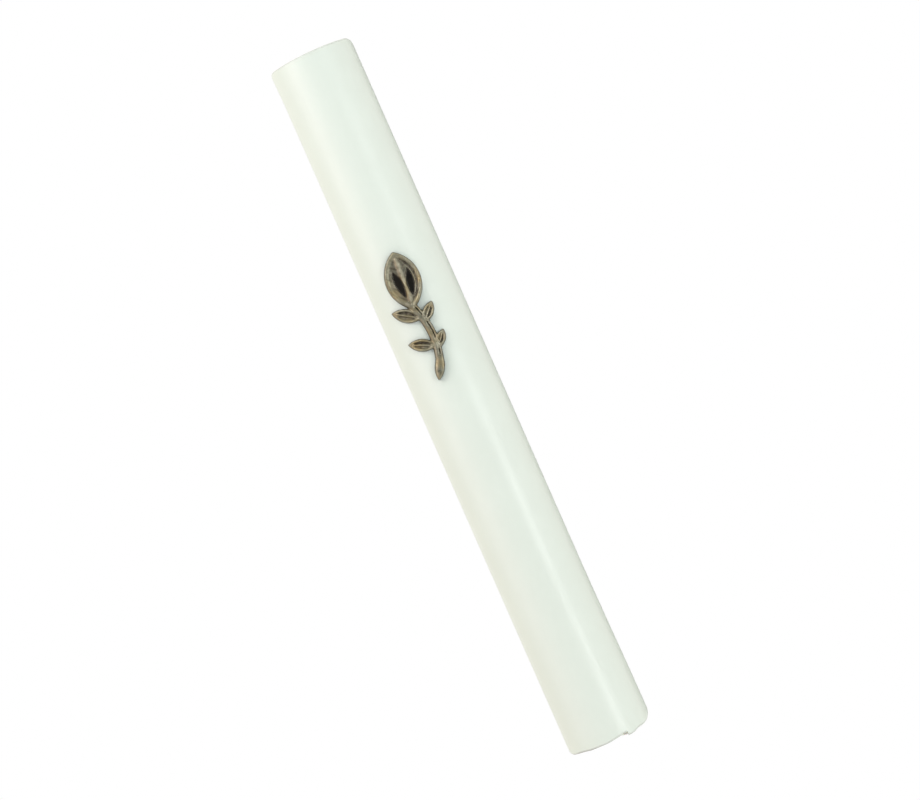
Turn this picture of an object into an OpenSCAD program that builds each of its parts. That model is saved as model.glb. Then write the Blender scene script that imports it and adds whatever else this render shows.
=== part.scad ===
// Mezuzah case for a doorpost, with the rolled parchment that it holds.
// A half-round plastic shell slides down over a flat back plate that is taped or screwed to the
// doorpost. A glued plug closes the top and a push-in plug closes the bottom.
// Frame: +Z up along the case, the front faces -Y, and Y = 0 is the face of the doorpost.

/* [Shell] */
// Length of the case, end to end
case_l = 140; // [110:1:180]
// Width across the two straight sides
case_w = 16.5; // [16:0.1:20]
// Depth from the doorpost to the crest of the half-round front
case_d = 13.6; // [13.3:0.1:16]
// Wall thickness of the shell
wall = 1.7; // [1.6:0.1:1.9]
// Angle of both saw cuts away from square, in degrees
cut_skew = 1.3; // [0:0.1:2]
// Corner radius at the top left, seen from the front
corner_top_left = 0.6; // [0.3:0.1:2]
// Corner radius at the top right
corner_top_right = 1.2; // [0.3:0.1:2]
// Corner radius at the bottom left
corner_bottom_left = 0.8; // [0.3:0.1:2]
// Corner radius at the bottom right, where the end is dressed by hand
corner_bottom_right = 2.2; // [0.3:0.1:3.5]
// Width of the pry notch in the bottom rim
notch_w = 0.9; // [0.8:0.1:1.5]
// Height of the pry notch in the bottom rim
notch_h = 0.4; // [0.3:0.1:0.8]
// Sideways place of the pry notch
notch_x = 2.8; // [2.5:0.1:3.5]
// How far the lip beside the notch stands below the saw cut
notch_lip = 0.3; // [0:0.1:0.6]

/* [Back plate] */
// Thickness of the back plate
plate_t = 2; // [1.8:0.1:2.2]
// Thickness of the tongues along its two edges
tongue_t = 1.2; // [1:0.1:1.3]
// Radius of the two screw holes
screw_hole_r = 1.7; // [1.5:0.1:1.9]
// Radius of their countersinks at the front face
screw_head_r = 2.9; // [2.5:0.1:3.1]
// Distance between the two screw holes
screw_spacing = 104; // [90:1:110]
// Thickness of the foam tape behind the plate
tape_t = 1; // [0.8:0.1:1.2]
// Length of the foam tape
tape_l = 88; // [60:1:90]
// Width of the foam tape
tape_w = 11; // [8:0.5:12]

/* [Plugs] */
// Thickness of the glued top plug
top_plug_t = 4; // [3:0.5:5]
// Height of the push-in bottom plug
bottom_plug_t = 7; // [5:0.5:8]
// How far both plugs and the plate sit inside the cut ends
end_recess = 0.5; // [0.3:0.1:0.8]
// How far the finger tab of the bottom plug stands below the rim
tab_reach = 0.2; // [0.2:0.05:1.2]

/* [Parchment] */
// Height of the rolled sheet
sheet_h = 120; // [80:1:120]
// Thickness of the sheet
sheet_t = 0.22; // [0.18:0.01:0.24]
// Radius of the hollow at the heart of the roll
roll_core_r = 2; // [1.6:0.1:2]
// Number of half turns in the roll
half_turns = 13; // [7:2:13]
// How far the film sleeve stands out past each end of the roll
sleeve_overhang = 1; // [0:0.5:1.2]

/* [Emblem] */
// Length of the cast leaf sprig
emblem_l = 25.4; // [20:0.1:30]
// Thickness of the casting
emblem_t = 1.15; // [0.8:0.05:1.5]
// Thickness of the web that closes the two hollows of the big leaf
emblem_web = 0.45; // [0.3:0.05:0.8]
// Sideways place of the sprig's centre
emblem_x = -2; // [-2.5:0.1:0.5]
// Height of the sprig's centre above the middle of the case
emblem_z = 17; // [0:0.5:30]

/* [Hidden] */
$fn = 96;

// Clearances
slide_gap = 0.08;     // plate tongues in the shell's channel
plug_gap = 0.05;      // bottom plug in the chamber
glue_gap = 0.03;      // glued joints within the case
roll_gap = 0.3;       // sleeve to the plate behind it
stand_gap = 0.1;      // sleeve to the plug that it stands on
lip_gap = 0.5;        // rear lips to the doorpost
past = 1;             // how far a cutting shape runs past what it cuts

// Shell
half_w = case_w / 2;
inner_r = half_w - wall;
arc_y = half_w - case_d;
bottom_z = -case_l / 2;
top_z = case_l / 2;

// Back plate and the channel that it slides in
plate_rear_y = -tape_t;
plate_front_y = plate_rear_y - plate_t;
tongue_half_w = half_w - 0.9;
plate_half_w = inner_r - 0.3;
channel_half_w = tongue_half_w + 0.1;
channel_front_y = plate_front_y - slide_gap;
channel_h = tongue_t + 2 * slide_gap;
mouth_half_w = plate_half_w + 0.15;
plate_bottom_z = bottom_z + end_recess;
plate_top_z = top_z - end_recess - top_plug_t;
plate_corner_r = 1;

// Bottom plug: full size at its two sealing ribs and slimmer between them
plug_bottom_z = bottom_z + end_recess;
plug_waist = 0.45;
plug_rib_h = 1.6;
plug_rear_y = plate_front_y - slide_gap;
tab_thick = 1.9;
tab_from = 18;
tab_to = 48;

// Roll
half_step = 0.14;
roll_outer_r = roll_core_r + (half_turns - 1) * half_step + sheet_t;
sleeve_inner_r = roll_outer_r + 0.1;
sleeve_outer_r = sleeve_inner_r + 0.12;
roll_y = plate_front_y - roll_gap - sleeve_outer_r;
sleeve_bottom_z = plug_bottom_z + bottom_plug_t + stand_gap;
roll_bottom_z = sleeve_bottom_z + sleeve_overhang;

// Emblem, drawn 25.4 long and scaled
emblem_scale = emblem_l / 25.4;

// Solid section across the case: a half-round front and straight sides back to rear_y
module d_section(half_width, rear_y) {
    intersection() {
        translate([0, arc_y]) circle(r = half_width);
        translate([-half_width - past, arc_y - half_width - past])
            square([2 * (half_width + past), half_width + past]);
    }
    translate([-half_width, arc_y]) square([2 * half_width, rear_y - arc_y]);
}

// Hollow section of the shell: the chamber, the channel for the plate and the open back
module shell_section() {
    difference() {
        d_section(half_w, -lip_gap);
        d_section(inner_r, channel_front_y + past / 2);
        translate([-channel_half_w, channel_front_y]) square([2 * channel_half_w, channel_h]);
        translate([-mouth_half_w, channel_front_y]) square([2 * mouth_half_w, case_d]);
    }
}

// What a corner of the given radius takes away, with the corner at the origin and the solid side
// towards -X and -Y
module corner_bite(r) {
    difference() {
        translate([-r, -r]) square(r + past);
        translate([-r, -r]) circle(r = r);
    }
}

// Front view of the case: two parallel saw cuts, a little off square, and four corners. A low lip
// runs from the pry notch to the bottom right corner.
module cut_outline() {
    rise = tan(cut_skew);
    edge = half_w + past;
    drop = rise * half_w;
    lip_from = notch_x + notch_w / 2;
    lip_bend = lip_from + notch_w;
    lip_to = half_w - corner_bottom_right;
    difference() {
        polygon([
            [-edge, bottom_z - rise * edge],
            [lip_from, bottom_z + rise * lip_from],
            [lip_from, bottom_z + rise * lip_from - notch_lip],
            [lip_bend, bottom_z + rise * lip_bend - notch_lip],
            [lip_to, bottom_z + rise * lip_to],
            [edge, bottom_z + rise * edge],
            [edge, top_z + rise * edge],
            [-edge, top_z - rise * edge]
        ]);
        translate([half_w, top_z + drop]) corner_bite(corner_top_right);
        translate([-half_w, top_z - drop]) mirror([1, 0]) corner_bite(corner_top_left);
        translate([half_w, bottom_z + drop]) mirror([0, 1]) corner_bite(corner_bottom_right);
        translate([-half_w, bottom_z - drop]) rotate(180) corner_bite(corner_bottom_left);
    }
}

// Turns a front view drawn in X and Y into a solid that runs the depth of the case
module from_front(depth) {
    rotate([90, 0, 0]) linear_extrude(height = depth) children();
}

module front_shell() {
    color([0.93, 0.95, 0.92])
    difference() {
        intersection() {
            translate([0, 0, bottom_z - past])
                linear_extrude(height = case_l + 2 * past) shell_section();
            from_front(case_d + past) cut_outline();
        }
        translate([notch_x - notch_w / 2, -case_d - past, bottom_z - past])
            cube([notch_w, wall + 2 * past, past + notch_h]);
    }
}

module top_plug() {
    color([0.9, 0.92, 0.89])
    translate([0, 0, plate_top_z])
    linear_extrude(height = top_plug_t) {
        d_section(inner_r - glue_gap, channel_front_y + past / 2);
        translate([glue_gap - channel_half_w, channel_front_y + glue_gap])
            square([2 * (channel_half_w - glue_gap), channel_h - 2 * glue_gap]);
        translate([glue_gap - mouth_half_w, channel_front_y + glue_gap])
            square([2 * (mouth_half_w - glue_gap), -lip_gap - channel_front_y - glue_gap]);
    }
}

module screw_hole() {
    sink = screw_head_r - screw_hole_r;
    rotate([90, 0, 0]) {
        cylinder(r = screw_hole_r, h = plate_t + tape_t + past);
        translate([0, 0, -plate_front_y - sink])
            cylinder(r1 = screw_hole_r, r2 = screw_head_r, h = sink);
        translate([0, 0, -plate_front_y]) cylinder(r = screw_head_r, h = past);
    }
}

// Seen along the case, the plate is a T with two thin tongues at the front
module back_plate() {
    plate_l = plate_top_z - plate_bottom_z;
    color([0.88, 0.9, 0.88])
    difference() {
        translate([0, 0, plate_bottom_z])
        linear_extrude(height = plate_l) {
            translate([-plate_half_w, plate_front_y]) square([2 * plate_half_w, plate_t]);
            translate([-tongue_half_w, plate_front_y]) square([2 * tongue_half_w, tongue_t]);
        }
        for (side = [-1, 1])
            translate([0, 0, side * screw_spacing / 2]) screw_hole();
        from_front(plate_t + tape_t + past) plate_corners();
    }
}

// Rounds the two lower corners of the plate, which lead into the channel
module plate_corners() {
    for (side = [0, 1])
        mirror([side, 0])
            translate([tongue_half_w, plate_bottom_z]) mirror([0, 1]) corner_bite(plate_corner_r);
}

module foam_tape() {
    color([0.72, 0.72, 0.7])
    translate([-tape_w / 2, -tape_t, -tape_l / 2]) cube([tape_w, tape_t, tape_l]);
}

// Arc of a ring about the crest's centre, from one angle to another, measured from the crest
module arc_rib(outer_r, thick, from, to) {
    reach = 2 * outer_r;
    intersection() {
        translate([0, arc_y]) difference() {
            circle(r = outer_r);
            circle(r = outer_r - thick);
        }
        translate([0, arc_y]) polygon([
            [0, 0],
            [reach * sin(from), -reach * cos(from)],
            [reach * sin(to), -reach * cos(to)]
        ]);
    }
}

module bottom_plug() {
    full_r = inner_r - plug_gap;
    waist_h = bottom_plug_t - 2 * plug_rib_h;
    rib_z = [plug_bottom_z, plug_bottom_z + bottom_plug_t - plug_rib_h];
    color([0.94, 0.94, 0.91]) {
        for (z = rib_z)
            translate([0, 0, z])
                linear_extrude(height = plug_rib_h) d_section(full_r, plug_rear_y);
        translate([0, 0, plug_bottom_z + plug_rib_h])
            linear_extrude(height = waist_h) d_section(full_r - plug_waist, plug_rear_y - plug_waist);
        translate([0, 0, bottom_z - tab_reach])
            linear_extrude(height = tab_reach + end_recess + plug_rib_h)
                arc_rib(full_r - plug_gap, tab_thick, tab_from, tab_to);
    }
}

// The sheet is rolled up as half rings whose centres alternate, so that each half turn meets
// the next without a step
module parchment_scroll() {
    color([0.87, 0.8, 0.64])
    translate([-half_step / 2, roll_y, roll_bottom_z])
    linear_extrude(height = sheet_h)
        for (turn = [0 : half_turns - 1]) {
            r = roll_core_r + turn * half_step;
            odd = turn % 2;
            translate([odd * half_step, 0])
            intersection() {
                difference() {
                    circle(r = r + sheet_t);
                    circle(r = r);
                }
                translate([-r - past, odd == 1 ? -r - past : 0]) square([2 * (r + past), r + past]);
            }
        }
}

module scroll_sleeve() {
    color([0.85, 0.9, 0.92, 0.5])
    translate([0, roll_y, sleeve_bottom_z])
    linear_extrude(height = sheet_h + 2 * sleeve_overhang)
        difference() {
            circle(r = sleeve_outer_r);
            circle(r = sleeve_inner_r);
        }
}

// Pointed leaf with its base at the origin and its tip up +Y
module leaf(length, width) {
    r = (length * length + width * width) / (4 * width);
    intersection() {
        translate([r - width / 2, length / 2]) circle(r = r);
        translate([width / 2 - r, length / 2]) circle(r = r);
    }
}

// Stem: an arc that bows to the right, from the big leaf down to the tail
module stem() {
    stem_r = 15.6;
    stem_w = 1.6;
    intersection() {
        translate([1.9 - stem_r, -4.5]) difference() {
            circle(r = stem_r + stem_w / 2);
            circle(r = stem_r - stem_w / 2);
        }
        translate([-3, -10.4]) square([8, 13.4]);
    }
}

module big_leaf() {
    translate([0.6, 1.4]) rotate(-3) leaf(11.3, 6.8);
}

// Outline of the sprig: a big leaf with two hollows, two pairs of leaflets, and a stem with a
// pointed tail
module sprig() {
    difference() {
        big_leaf();
        translate([0.2, 3.8]) rotate(6) leaf(5.6, 1.5);
        translate([1.6, 3.6]) rotate(-10) leaf(5.6, 1.5);
    }
    stem();
    translate([1.8, -8.2]) rotate(153) leaf(5, 1.9);
    translate([1.3, -0.8]) rotate(58) leaf(5.8, 2.6);
    translate([1.4, -1.7]) rotate(-42) leaf(4.3, 2.1);
    translate([1.8, -6.5]) rotate(66) leaf(5.4, 2.4);
    translate([1.8, -7.1]) rotate(-38) leaf(3.8, 1.9);
}

// One layer of the casting, this thick over an outline. It is bent to the round of the case, so both
// its faces are concentric with it.
module cast_layer(thick) {
    back_r = half_w + glue_gap;
    intersection() {
        translate([emblem_x, 0, emblem_z])
            from_front(case_d + emblem_t + past) scale(emblem_scale) children();
        translate([0, arc_y, emblem_z - emblem_l]) difference() {
            cylinder(r = back_r + thick, h = 2 * emblem_l);
            translate([0, 0, -past]) cylinder(r = back_r, h = 2 * emblem_l + 2 * past);
            translate([-case_w, 0, -past]) cube([2 * case_w, case_w, 2 * emblem_l + 2 * past]);
        }
    }
}

module emblem() {
    color([0.48, 0.45, 0.38]) {
        cast_layer(emblem_t) sprig();
        cast_layer(emblem_web) big_leaf();
    }
}

front_shell();
top_plug();
emblem();
back_plate();
foam_tape();
bottom_plug();
parchment_scroll();
scroll_sleeve();
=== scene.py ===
"""Looks for a half-round mezuzah case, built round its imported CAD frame.

Lengths are in metres in the row frame: +Z up along the case, the front faces -Y, Y = 0 is the doorpost.
"""
import math

import bmesh
import bpy
import numpy as np
from mathutils import Matrix, Vector
from mathutils.geometry import delaunay_2d_cdt


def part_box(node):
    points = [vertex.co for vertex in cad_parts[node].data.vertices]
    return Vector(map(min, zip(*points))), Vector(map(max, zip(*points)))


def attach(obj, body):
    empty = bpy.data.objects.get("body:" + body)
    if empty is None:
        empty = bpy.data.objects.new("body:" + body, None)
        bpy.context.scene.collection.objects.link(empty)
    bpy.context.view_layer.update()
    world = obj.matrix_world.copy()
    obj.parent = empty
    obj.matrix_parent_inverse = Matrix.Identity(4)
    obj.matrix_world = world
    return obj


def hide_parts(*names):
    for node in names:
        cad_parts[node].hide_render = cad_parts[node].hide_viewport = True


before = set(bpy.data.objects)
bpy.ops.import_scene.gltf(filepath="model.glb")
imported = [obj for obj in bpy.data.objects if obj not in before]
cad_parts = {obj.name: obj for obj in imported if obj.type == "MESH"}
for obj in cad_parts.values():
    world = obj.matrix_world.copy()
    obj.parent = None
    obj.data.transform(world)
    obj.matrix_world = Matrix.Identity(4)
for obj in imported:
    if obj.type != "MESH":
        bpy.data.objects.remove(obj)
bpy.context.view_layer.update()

MM = 0.001

# Sizes read from the frame
SHELL_LOW, SHELL_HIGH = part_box("front_shell")
CORK_LOW, CORK_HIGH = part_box("bottom_plug")
CAP_LOW, CAP_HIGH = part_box("top_plug")
PLATE_LOW, PLATE_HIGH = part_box("back_plate")
TAPE_LOW, TAPE_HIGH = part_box("foam_tape")
ROLL_LOW, ROLL_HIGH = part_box("parchment_scroll")
SLEEVE_LOW, SLEEVE_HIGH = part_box("scroll_sleeve")

HALF_W = SHELL_HIGH.x
CREST_Y = SHELL_LOW.y
LIP_Y = SHELL_HIGH.y
ARC_Y = CREST_Y + HALF_W
PLUG_GAP = 0.05 * MM
INNER_R = CORK_HIGH.x + PLUG_GAP

# The plate, its tongues and the channel that they slide in
SLIDE_GAP = 0.08 * MM
TONGUE_SIDE_GAP = 0.1 * MM
PLATE_SIDE_GAP = 0.15 * MM
TONGUE_T = 1.2 * MM
TONGUE_W = PLATE_HIGH.x
PLATE_HALF_W = INNER_R - 0.3 * MM
CHANNEL_W = TONGUE_W + TONGUE_SIDE_GAP
CHANNEL_Y = PLATE_LOW.y - SLIDE_GAP
CHANNEL_REAR_Y = CHANNEL_Y + TONGUE_T + 2 * SLIDE_GAP
MOUTH_W = PLATE_HALF_W + PLATE_SIDE_GAP
SCREW_Z = 52 * MM
SCREW_R = 1.7 * MM
SCREW_HEAD_R = 2.9 * MM

# The two saw cuts, a little off square, with their corners and the pry notch
CUT_SLOPE = math.tan(math.radians(1.3))
TOP_CORNERS = (0.6 * MM, 1.2 * MM)
BOTTOM_CORNERS = (0.8 * MM, 2.2 * MM)
HALF_L = 70 * MM
NOTCH_FROM = 2.35 * MM
NOTCH_TO = 3.25 * MM
NOTCH_H = 0.4 * MM

# The bottom rim's lip beside the notch, and where the rim is rubbed away
LIP_BEND = 3.9 * MM
LIP_TO = 5.7 * MM
LIP_H = 0.3 * MM
RUB_FROM = -1.2 * MM
RUB_H = 0.3 * MM
SIDE_RUB_FROM = 4.4 * MM
SIDE_RUB_TO = 5.8 * MM
SIDE_RUB_H = 0.14 * MM

# Sideways places on the end faces where they bend down into the rounded corners
BEND_PLACES = (6.75 * MM, 7.05 * MM, 7.3 * MM, 7.6 * MM, 7.85 * MM)

# The bottom plug's end is set in by END_RECESS. Its finger tab stands out from there: an arc
# whose ends are turned this far from the crest.
END_RECESS = 0.5 * MM
TAB_T = 1.9 * MM
TAB_FROM = math.radians(18)
TAB_TO = math.radians(48)
TAB_BEVEL = 0.2 * MM

# Steps round a rim, and how much painted shade each ring of points carries, from the end face along the
# side
EDGE_STEPS = 4
RIM_SHADE_VALUES = (0.15, 1.0, 1.0, 0.9, 0.55, 0.0)

# Turn between the points of a wide arc, and the angle over which an edge is shaded sharp
ARC_STEP = math.radians(1.5)
SHARP = math.radians(32)


# ---------------------------------------------------------------- mesh tools

def smoothstep(low, high, x):
    """Smooth rise from 0 at low to 1 at high, whichever of the two is larger."""
    t = np.clip((x - low) / (high - low), 0, 1)
    return t * t * (3 - 2 * t)


def mesh_of(bm, sharp=SHARP):
    """Turns bm into a smooth-shaded mesh with its real edges sharp."""
    bmesh.ops.recalc_face_normals(bm, faces=bm.faces)
    mesh = bpy.data.meshes.new("piece")
    bm.to_mesh(mesh)
    bm.free()
    shade(mesh, sharp)
    return mesh


def shade(mesh, sharp=SHARP):
    """Smooth shading, except over edges that turn by more than this angle."""
    mesh.polygons.foreach_set("use_smooth", [True] * len(mesh.polygons))
    mesh.set_sharp_from_angle(angle=sharp)


def add_piece(name, mesh, body, node, material):
    """Places a mesh as a piece that rides on a body and stands for a CAD node."""
    mesh.name = name
    mesh.materials.clear()
    mesh.materials.append(material)
    piece = bpy.data.objects.new(name, mesh)
    bpy.context.scene.collection.objects.link(piece)
    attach(piece, body)
    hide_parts(node)


def combine(mesh, tools, operation):
    """Exact boolean of a mesh with other closed meshes."""
    target = bpy.data.objects.new("target", mesh)
    bpy.context.scene.collection.objects.link(target)
    others = []
    for tool in tools:
        other = bpy.data.objects.new("tool", tool)
        bpy.context.scene.collection.objects.link(other)
        others.append(other)
        modifier = target.modifiers.new("combine", "BOOLEAN")
        modifier.operation = operation
        modifier.solver = "EXACT"
        modifier.object = other
    depsgraph = bpy.context.evaluated_depsgraph_get()
    result = bpy.data.meshes.new_from_object(target.evaluated_get(depsgraph), depsgraph=depsgraph)
    for o in [target] + others:
        bpy.data.objects.remove(o)
    shade(result)
    return result


def fillet(before, corner, after, radius):
    """Points of the arc that rounds one corner of an outline."""
    a = (Vector(before) - Vector(corner)).normalized()
    b = (Vector(after) - Vector(corner)).normalized()
    inside = a.angle(b)
    turn = math.pi - inside
    centre = Vector(corner) + (a + b).normalized() * (radius / math.sin(inside / 2))
    start = Vector(corner) + a * (radius / math.tan(inside / 2)) - centre
    end = Vector(corner) + b * (radius / math.tan(inside / 2)) - centre
    steps = max(3, math.ceil(turn / ARC_STEP)) if radius > MM else 4
    points = []
    for i in range(steps + 1):
        t = i / steps
        spoke = (start * math.sin((1 - t) * turn) + end * math.sin(t * turn)) / math.sin(turn)
        points.append(tuple(centre + spoke))
    return points


def outline(corners):
    """Closed outline from corners (x, y, radius), with no doubled points."""
    points = []
    for i, (x, y, radius) in enumerate(corners):
        before = corners[i - 1][:2]
        after = corners[(i + 1) % len(corners)][:2]
        for p in fillet(before, (x, y), after, radius):
            if not points or (Vector(p) - Vector(points[-1])).length > 1e-7:
                points.append(p)
    if (Vector(points[0]) - Vector(points[-1])).length < 1e-7:
        points.pop()
    return np.array(points)


def refine(points, step):
    """The same outline with its long straights cut into stretches of at most step."""
    fine = []
    for a, b in zip(points, np.roll(points, -1, 0)):
        count = max(1, math.ceil(np.linalg.norm(b - a) / step))
        fine += [a + (b - a) * i / count for i in range(count)]
    return np.array(fine)


def outward(points):
    """Mitred outward direction at each point of a closed outline."""
    edge = np.roll(points, -1, 0) - points
    edge /= np.linalg.norm(edge, axis=1)[:, None]
    ahead = np.roll(points, -1, 0)
    area = np.sum(points[:, 0] * ahead[:, 1] - ahead[:, 0] * points[:, 1])
    normal = np.stack([edge[:, 1], -edge[:, 0]], 1) * np.sign(area)
    both = normal + np.roll(normal, 1, 0)
    length = np.linalg.norm(both, axis=1)[:, None]
    return both / length * np.minimum(2 / length, 2)


def stack(points, levels, seams=(), inside=((), (), ())):
    """A closed solid from one outline at several levels (inset, heights), lowest first. Its two end
    faces have edges along the seams (pairs of points) and pass through the inside points (places,
    heights at the low end, heights at the high end). Its point value rim is painted shade, a grey
    line along the rounded rims, taken ring by ring from the shade values set at the top."""
    out = outward(points)
    count = len(points)
    bm = bmesh.new()
    rim = bm.verts.layers.float.new("rim")
    loops = []
    for level, (inset, heights) in enumerate(levels):
        xy = points - out * np.broadcast_to(inset, count)[:, None]
        z = np.broadcast_to(heights, count)
        loops.append([bm.verts.new((xy[i, 0], xy[i, 1], z[i])) for i in range(count)])
        from_end = min(level, len(levels) - 1 - level)
        for v in loops[-1]:
            v[rim] = RIM_SHADE_VALUES[min(from_end, len(RIM_SHADE_VALUES) - 1)]
    for a, b in zip(loops, loops[1:]):
        for i in range(count):
            j = (i + 1) % count
            bm.faces.new((a[i], a[j], b[j], b[i]))
    places, low, high = inside
    for loop, heights in ((loops[0], low), (loops[-1], high)):
        inner = [bm.verts.new((x, y, z)) for (x, y), z in zip(places, heights)]
        for v in inner:
            v[rim] = RIM_SHADE_VALUES[0]
        close_end(bm, loop, inner, seams)
    return bm


def close_end(bm, loop, inner, seams):
    """Fills an outline with triangles that keep to its inside and use its inner points."""
    flat = [v.co.xy for v in loop]
    area = sum(a.cross(b) for a, b in zip(flat, flat[1:] + flat[:1]))
    order = list(range(len(loop)))[:: 1 if area > 0 else -1]
    corners = loop + inner
    flat += [v.co.xy for v in inner]
    _, _, triangles, origin, _, _ = delaunay_2d_cdt(flat, list(seams), [order], 1, 1e-9)
    for triangle in triangles:
        bm.faces.new([corners[origin[i][0]] for i in triangle])


def rounded_rim(edge):
    """(inset, rise) pairs of a quarter round, from the end face out to the side."""
    turns = [math.pi / 2 * i / EDGE_STEPS for i in range(EDGE_STEPS + 1)]
    return [(edge * (1 - math.sin(a)), edge * (1 - math.cos(a))) for a in turns]


def bar(points, low, high, edge, rings=1, seams=(), inside=((), (), ())):
    """A closed bar with this outline across it, between heights low and high, with rounded rims."""
    rim = rounded_rim(edge)
    band = edge + 0.2 * MM
    levels = [(inset, low + rise) for inset, rise in rim]
    levels += [(0.0, low + band + (high - low - 2 * band) * i / rings) for i in range(rings + 1)]
    levels += [(inset, high - rise) for inset, rise in reversed(rim)]
    return stack(points, levels, seams, inside)


def lathe(profile):
    """A closed solid turned about Z from (radius, z) points that start and end on the axis."""
    steps = 64
    bm = bmesh.new()
    rings = []
    for radius, z in profile:
        if radius == 0:
            rings.append([bm.verts.new((0, 0, z))])
            continue
        turns = [2 * math.pi * i / steps for i in range(steps)]
        rings.append([bm.verts.new((radius * math.cos(a), radius * math.sin(a), z)) for a in turns])
    for a, b in zip(rings, rings[1:]):
        for i in range(steps):
            j = (i + 1) % steps
            face = [a[i % len(a)], a[j % len(a)], b[j % len(b)], b[i % len(b)]]
            bm.faces.new(list(dict.fromkeys(face)))
    return bm


# ---------------------------------------------------------------- material tools

class Nodes:
    """A node tree with short ways to add to it. A socket or a plain value can feed any input."""

    def __init__(self, tree):
        self.tree = tree
        self.tree.nodes.clear()

    def node(self, kind, inputs=None, **settings):
        """Adds a node with these settings, and feeds its inputs."""
        made = self.tree.nodes.new(kind)
        for key, value in settings.items():
            setattr(made, key, value)
        for key, value in (inputs or {}).items():
            self.plug(made.inputs[key], value)
        return made

    def plug(self, socket, value):
        """Links a socket to an input, or sets the input to a plain value."""
        if isinstance(value, bpy.types.NodeSocket):
            self.tree.links.new(value, socket)
        else:
            socket.default_value = value

    def remap(self, value, low, high, to_low=0.0, to_high=1.0):
        """Takes low to to_low and high to to_high, in a straight line that stops at both."""
        inputs = {
            "Value": value,
            "From Min": low,
            "From Max": high,
            "To Min": to_low,
            "To Max": to_high,
        }
        return self.node("ShaderNodeMapRange", inputs, clamp=True).outputs[0]

    def math(self, operation, a, b=0.0):
        """One step of arithmetic on a, or on a and b."""
        return self.node("ShaderNodeMath", {0: a, 1: b}, operation=operation).outputs[0]

    def mix(self, share, a, b):
        """Colour a where share is 0 and colour b where it is 1."""
        made = self.node("ShaderNodeMix", data_type="RGBA")
        self.plug(made.inputs[0], share)
        self.plug(made.inputs[6], a if isinstance(a, bpy.types.NodeSocket) else (*a, 1))
        self.plug(made.inputs[7], b if isinstance(b, bpy.types.NodeSocket) else (*b, 1))
        return made.outputs[2]


class Shader(Nodes):
    """A Principled material and the few patterns that the pieces share."""

    def __init__(self, name):
        self.material = bpy.data.materials.new(name)
        self.material.use_nodes = True
        super().__init__(self.material.node_tree)
        self.output = self.node("ShaderNodeOutputMaterial")
        self.surface = self.node("ShaderNodeBsdfPrincipled")
        self.plug(self.output.inputs["Surface"], self.surface.outputs[0])
        self.place = self.node("ShaderNodeTexCoord").outputs["Object"]

    def set(self, **inputs):
        """Sets the shader's own sockets, written with _ for a space."""
        for key, value in inputs.items():
            self.plug(self.surface.inputs[key.replace("_", " ")], value)
        return self.material

    def stretched(self, x, y, z):
        """Object coordinates times these factors."""
        inputs = {"Vector": self.place, "Scale": (x, y, z)}
        return self.node("ShaderNodeMapping", inputs).outputs[0]

    def noise(self, size, detail=3.0, roughness=0.55, vector=None, distortion=0.0):
        """Noise from 0 to 1 whose largest features are about size metres."""
        inputs = {
            "Vector": vector or self.place,
            "Scale": 1 / size,
            "Detail": detail,
            "Roughness": roughness,
            "Distortion": distortion,
        }
        return self.node("ShaderNodeTexNoise", inputs).outputs[0]

    def cells(self, size):
        """Distance pattern of cells about size metres across."""
        inputs = {"Vector": self.place, "Scale": 1 / size}
        return self.node("ShaderNodeTexVoronoi", inputs).outputs[0]

    def bump(self, height, depth, normal=None, strength=1.0):
        """Normal of a relief that is depth metres deep."""
        inputs = {"Height": height, "Distance": depth, "Strength": strength}
        if normal is not None:
            inputs["Normal"] = normal
        return self.node("ShaderNodeBump", inputs).outputs[0]

    def value_of(self, name):
        """A number stored on the mesh's points."""
        return self.node("ShaderNodeAttribute", attribute_name=name).outputs["Fac"]

    def worn_edges(self, radius):
        """1 on edges tighter than radius, 0 on open faces."""
        soft = self.node("ShaderNodeBevel", {"Radius": radius}, samples=4).outputs[0]
        hard = self.node("ShaderNodeNewGeometry").outputs["Normal"]
        inputs = {0: soft, 1: hard}
        facing = self.node("ShaderNodeVectorMath", inputs, operation="DOT_PRODUCT").outputs["Value"]
        return self.remap(facing, 0.995, 0.86)

    def recess(self, reach):
        """1 deep in a corner, 0 in the open."""
        inputs = {"Distance": reach}
        open_share = self.node("ShaderNodeAmbientOcclusion", inputs, samples=8).outputs["AO"]
        return self.math("SUBTRACT", 1.0, open_share)


# ---------------------------------------------------------------- materials

def white_plastic(name, light, deep, least_rough, streak_depth):
    """Extruded white plastic in two close tones, with die lines along it, specks, dusty edges and a
    painted shade line along the rounded rims.
    """
    s = Shader(name)
    mottle = s.noise(9 * MM, 4)
    streaks = s.noise(1.0, 2, vector=s.stretched(3200, 3200, 28))
    grain = s.noise(0.35 * MM, 2)
    wear = s.math("MULTIPLY", s.worn_edges(0.35 * MM), s.remap(s.noise(1.6 * MM), 0.35, 0.7))
    specks = s.remap(s.cells(3.4 * MM), 0.035, 0.0)
    base = s.mix(s.remap(mottle, 0.3, 0.7), light, deep)
    base = s.mix(s.remap(streaks, 0.45, 0.8, 0, 0.25), base, deep)
    base = s.mix(s.math("MULTIPLY", wear, 0.35), base, tuple(0.8 * c for c in deep))
    base = s.mix(s.math("MULTIPLY", specks, 0.35), base, (0.45, 0.43, 0.4))
    # Painted shade: the point value rim greys the rounded rims of the ends, where they turn away from
    # the light.
    rim = s.value_of("rim")
    base = s.mix(s.math("MULTIPLY", rim, 0.8), base, (0.4, 0.4, 0.39))
    rough = s.remap(mottle, 0.3, 0.7, least_rough, least_rough + 0.07)
    rough = s.math("ADD", rough, s.math("MULTIPLY", wear, 0.2))
    rough = s.math("ADD", rough, s.math("MULTIPLY", rim, 0.25))
    relief = s.bump(streaks, streak_depth)
    relief = s.bump(grain, 0.004 * MM, relief)
    return s.set(Base_Color=base, Roughness=rough, Normal=relief, IOR=1.53)


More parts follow.
